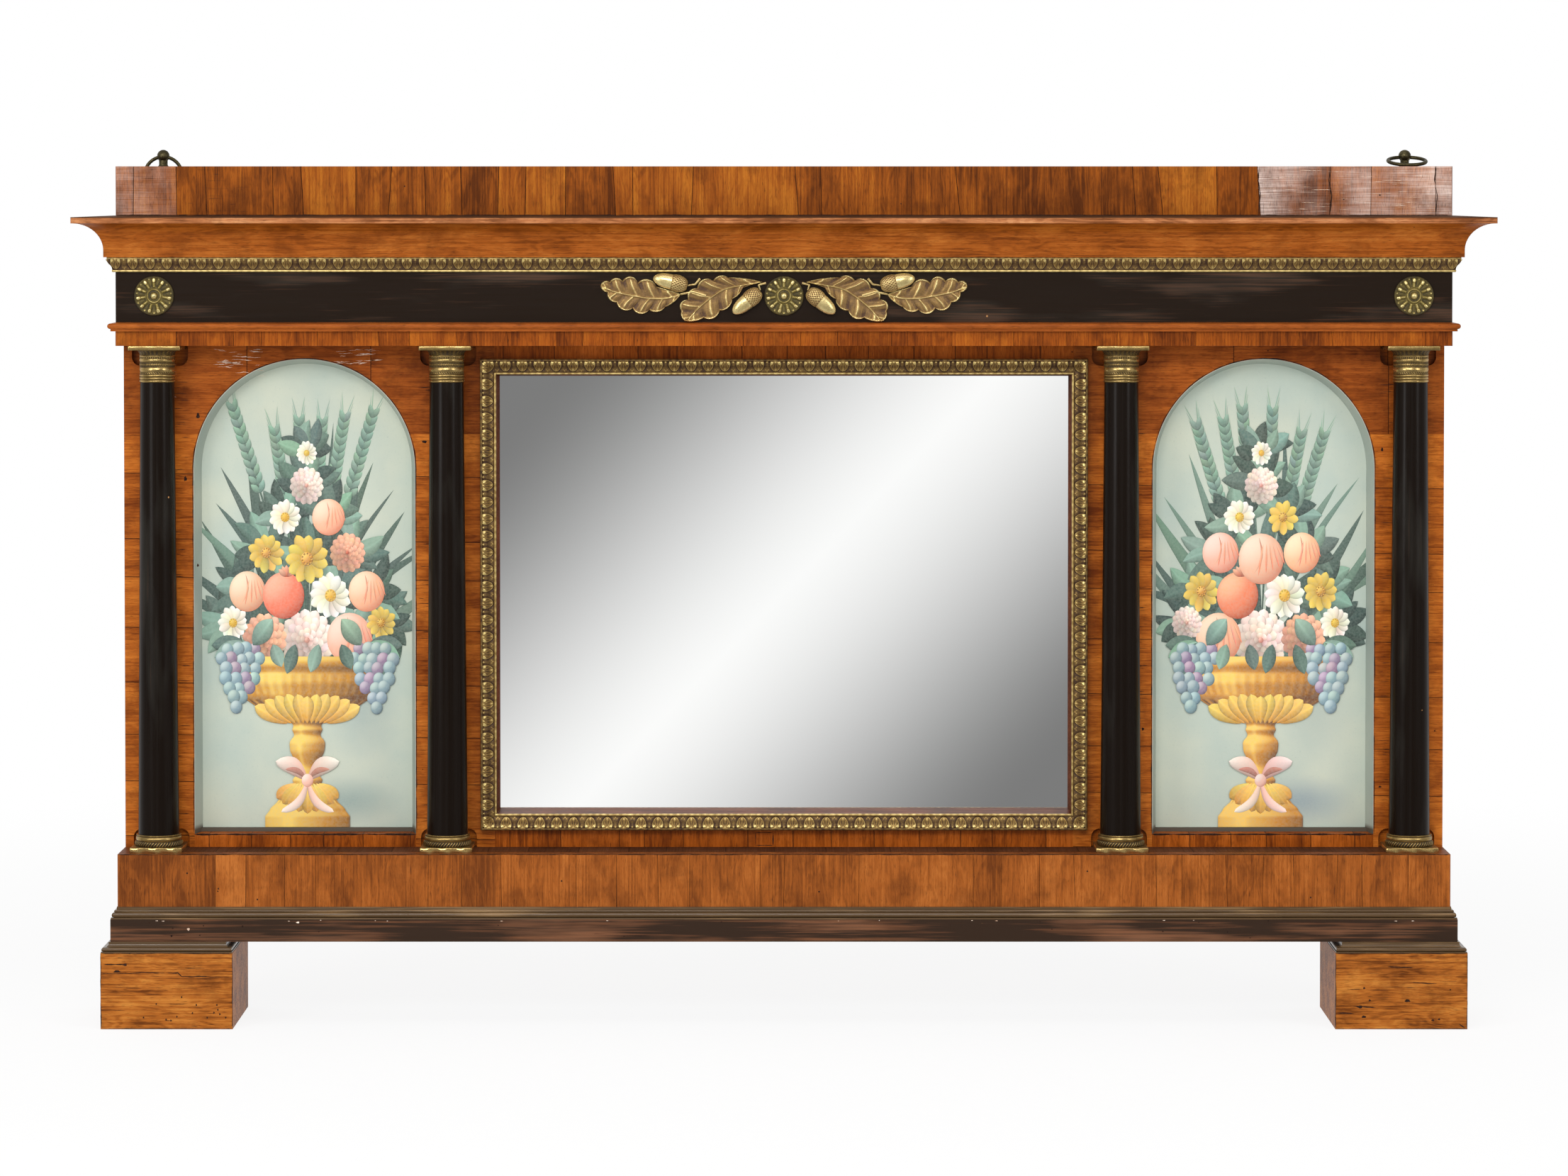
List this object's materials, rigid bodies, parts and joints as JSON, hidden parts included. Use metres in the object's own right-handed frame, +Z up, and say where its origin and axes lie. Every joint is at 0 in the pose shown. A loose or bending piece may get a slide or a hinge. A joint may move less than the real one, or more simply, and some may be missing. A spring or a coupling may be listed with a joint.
{
  "type": "overmantel mirror",
  "caption": "Wide overmantel mirror: central framed glass between arched painted panels and ebonised columns, on a plinth with block feet, with a cornice, a parapet and hanging rings.",
  "frame": {"origin": "centre of the footprint on the plane that the feet stand on", "axes": "+X to the right as seen from the front, -Y out of the front face, +Z up; the wall plane is the back, at +Y"},
  "size_m": [1.45, 0.15, 0.9009],
  "materials": {
    "walnut": "worn shellac on cross-banded veneer",
    "dark_walnut": "dusty, dull",
    "ebonised_wood": "black stain under polish, worn brown",
    "gilt_brass": "lacquered, tarnished in the hollows",
    "pine": "raw, aged",
    "painted_ground": "old distemper paint",
    "mirror_glass": "silvered",
    "bronze": "dark patina"
  },
  "bodies": {
    "case": {"foot_left": "walnut", "foot_right": "walnut", "foot_mouldings": "ebonised_wood", "base_board": "ebonised_wood", "base_moulding": "ebonised_wood", "plinth_front": "walnut", "plinth_sides": "walnut", "plinth_shelf": "dark_walnut", "case_sides": "walnut", "back_board": "pine", "stile_outer_left": "walnut", "stile_outer_right": "walnut", "stile_inner_left": "walnut", "stile_inner_right": "walnut", "arch_head_left": "walnut", "arch_head_right": "walnut", "rail_left": "walnut", "rail_right": "walnut", "rail_bottom": "walnut", "rail_top": "walnut", "arch_lining_left": "painted_ground", "arch_lining_right": "painted_ground", "painted_panel_left": "painted_ground", "painted_panel_right": "painted_ground", "mirror_glass": "mirror_glass", "mirror_back": "pine", "mirror_slip": "dark_walnut", "gallery": "gilt_brass", "shaft_outer_left": "ebonised_wood", "shaft_outer_right": "ebonised_wood", "shaft_inner_left": "ebonised_wood", "shaft_inner_right": "ebonised_wood", "base_outer_left": "gilt_brass", "base_outer_right": "gilt_brass", "base_inner_left": "gilt_brass", "base_inner_right": "gilt_brass", "capital_outer_left": "gilt_brass", "capital_outer_right": "gilt_brass", "capital_inner_left": "gilt_brass", "capital_inner_right": "gilt_brass", "fascia": "walnut", "architrave_strip": "walnut", "frieze_front": "ebonised_wood", "frieze_sides": "ebonised_wood", "leaf_band": "gilt_brass", "cornice_moulding": "walnut", "cornice_top": "dark_walnut", "parapet_front": "walnut", "parapet_ends": "walnut", "parapet_top": "walnut", "parapet_back": "pine", "hanger_left": "bronze", "hanger_right": "bronze", "rosettes": "gilt_brass", "oak_mount_left": "gilt_brass", "oak_mount_right": "gilt_brass"},
    "hanging_ring_left": {"ring_left": "bronze"},
    "hanging_ring_right": {"ring_right": "bronze"}
  },
  "joints": [
    {"name": "ring_left_swing", "type": "hinge", "parent": "case", "child": "hanging_ring_left", "pos_m": [-0.649, 0.0675, 0.893], "axis": [1, 0, 0], "range_deg": [0, 282]},
    {"name": "ring_right_swing", "type": "hinge", "parent": "case", "child": "hanging_ring_right", "pos_m": [0.649, 0.0675, 0.893], "axis": [-1, 0, 0], "range_deg": [0, 282]}
  ]
}
